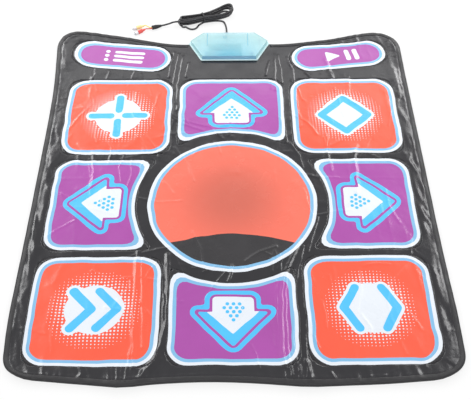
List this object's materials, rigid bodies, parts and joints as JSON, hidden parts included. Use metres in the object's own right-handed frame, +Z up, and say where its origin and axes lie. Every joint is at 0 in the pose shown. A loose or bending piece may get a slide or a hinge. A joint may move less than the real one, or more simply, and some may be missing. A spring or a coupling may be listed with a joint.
{
  "type": "dance mat controller",
  "caption": "Soft layered sheet mat with printed step pads round a disc, a clear control box at its back edge and a lead folded into a hank with two plugs.",
  "frame": {"origin": "on the floor under the middle of the mat, without the lead", "axes": "+Z up, +Y towards the control box, +X to the right of someone who faces it"},
  "size_m": [0.82, 1.0567, 0.025],
  "materials": {
    "non_slip": "matt, with moulded grip dots",
    "foam": "open foam",
    "film": "clear polyester film with silver tracks",
    "carbon": "printed carbon",
    "black_skin": "glossy creased vinyl",
    "coral_print": "glossy printed vinyl",
    "violet_print": "glossy printed vinyl",
    "binding": "woven tape",
    "clear_blue": "clear tinted, polished",
    "board": "solder mask",
    "steel": "plated",
    "black_plastic": "matt",
    "white_plastic": "matt",
    "rubber": "matt",
    "cord": "satin",
    "red_plastic": "satin",
    "yellow_plastic": "satin"
  },
  "bodies": {
    "mat": {"base_sheet": "non_slip", "foam_sheet": "foam", "lower_contact_film": "film", "spacer_sheet": "foam", "top_sheet": "black_skin", "edge_binding": "binding", "box_lower_shell": "clear_blue", "box_upper_shell": "clear_blue", "circuit_board": "board", "film_clamp_bar": "clear_blue", "controller_chip": "black_plastic", "resonator": "steel", "filter_capacitor": "black_plastic", "status_light": "red_plastic", "lead_socket": "white_plastic", "strain_relief": "rubber", "inner_lead": "cord", "lead_to_hank": "cord", "lead_hank": "cord", "lead_tail": "cord", "hank_tie": "rubber", "split_sleeve": "rubber", "red_lead": "red_plastic", "yellow_lead": "yellow_plastic", "red_plug_body": "red_plastic", "red_plug_contact": "steel", "yellow_plug_body": "yellow_plastic", "yellow_plug_contact": "steel", "case_screw_1": "steel", "case_screw_2": "steel", "case_screw_3": "steel", "case_screw_4": "steel", "clamp_screw_1": "steel", "clamp_screw_2": "steel"},
    "step_up": {"pad_up": "violet_print", "contact_up": "carbon"},
    "step_left": {"pad_left": "violet_print", "contact_left": "carbon"},
    "step_down": {"pad_down": "violet_print", "contact_down": "carbon"},
    "step_right": {"pad_right": "violet_print", "contact_right": "carbon"},
    "step_up_left": {"pad_up_left": "coral_print", "contact_up_left": "carbon"},
    "step_up_right": {"pad_up_right": "coral_print", "contact_up_right": "carbon"},
    "step_down_left": {"pad_down_left": "coral_print", "contact_down_left": "carbon"},
    "step_down_right": {"pad_down_right": "coral_print", "contact_down_right": "carbon"},
    "step_menu_left": {"pad_menu_left": "violet_print", "contact_menu_left": "carbon"},
    "step_menu_right": {"pad_menu_right": "violet_print", "contact_menu_right": "carbon"}
  },
  "joints": [
    {"name": "press_up", "type": "slide", "parent": "mat", "child": "step_up", "axis": [0, 0, -1], "range_m": [0, 0.0015], "stiffness_N_per_m": 3000, "springref_m": -0.0006},
    {"name": "press_left", "type": "slide", "parent": "mat", "child": "step_left", "axis": [0, 0, -1], "range_m": [0, 0.0015], "stiffness_N_per_m": 3000, "springref_m": -0.0006},
    {"name": "press_down", "type": "slide", "parent": "mat", "child": "step_down", "axis": [0, 0, -1], "range_m": [0, 0.0015], "stiffness_N_per_m": 3000, "springref_m": -0.0006},
    {"name": "press_right", "type": "slide", "parent": "mat", "child": "step_right", "axis": [0, 0, -1], "range_m": [0, 0.0015], "stiffness_N_per_m": 3000, "springref_m": -0.0006},
    {"name": "press_up_left", "type": "slide", "parent": "mat", "child": "step_up_left", "axis": [0, 0, -1], "range_m": [0, 0.0015], "stiffness_N_per_m": 3000, "springref_m": -0.0006},
    {"name": "press_up_right", "type": "slide", "parent": "mat", "child": "step_up_right", "axis": [0, 0, -1], "range_m": [0, 0.0015], "stiffness_N_per_m": 3000, "springref_m": -0.0006},
    {"name": "press_down_left", "type": "slide", "parent": "mat", "child": "step_down_left", "axis": [0, 0, -1], "range_m": [0, 0.0015], "stiffness_N_per_m": 3000, "springref_m": -0.0006},
    {"name": "press_down_right", "type": "slide", "parent": "mat", "child": "step_down_right", "axis": [0, 0, -1], "range_m": [0, 0.0015], "stiffness_N_per_m": 3000, "springref_m": -0.0006},
    {"name": "press_menu_left", "type": "slide", "parent": "mat", "child": "step_menu_left", "axis": [0, 0, -1], "range_m": [0, 0.0015], "stiffness_N_per_m": 3000, "springref_m": -0.0006},
    {"name": "press_menu_right", "type": "slide", "parent": "mat", "child": "step_menu_right", "axis": [0, 0, -1], "range_m": [0, 0.0015], "stiffness_N_per_m": 3000, "springref_m": -0.0006}
  ]
}
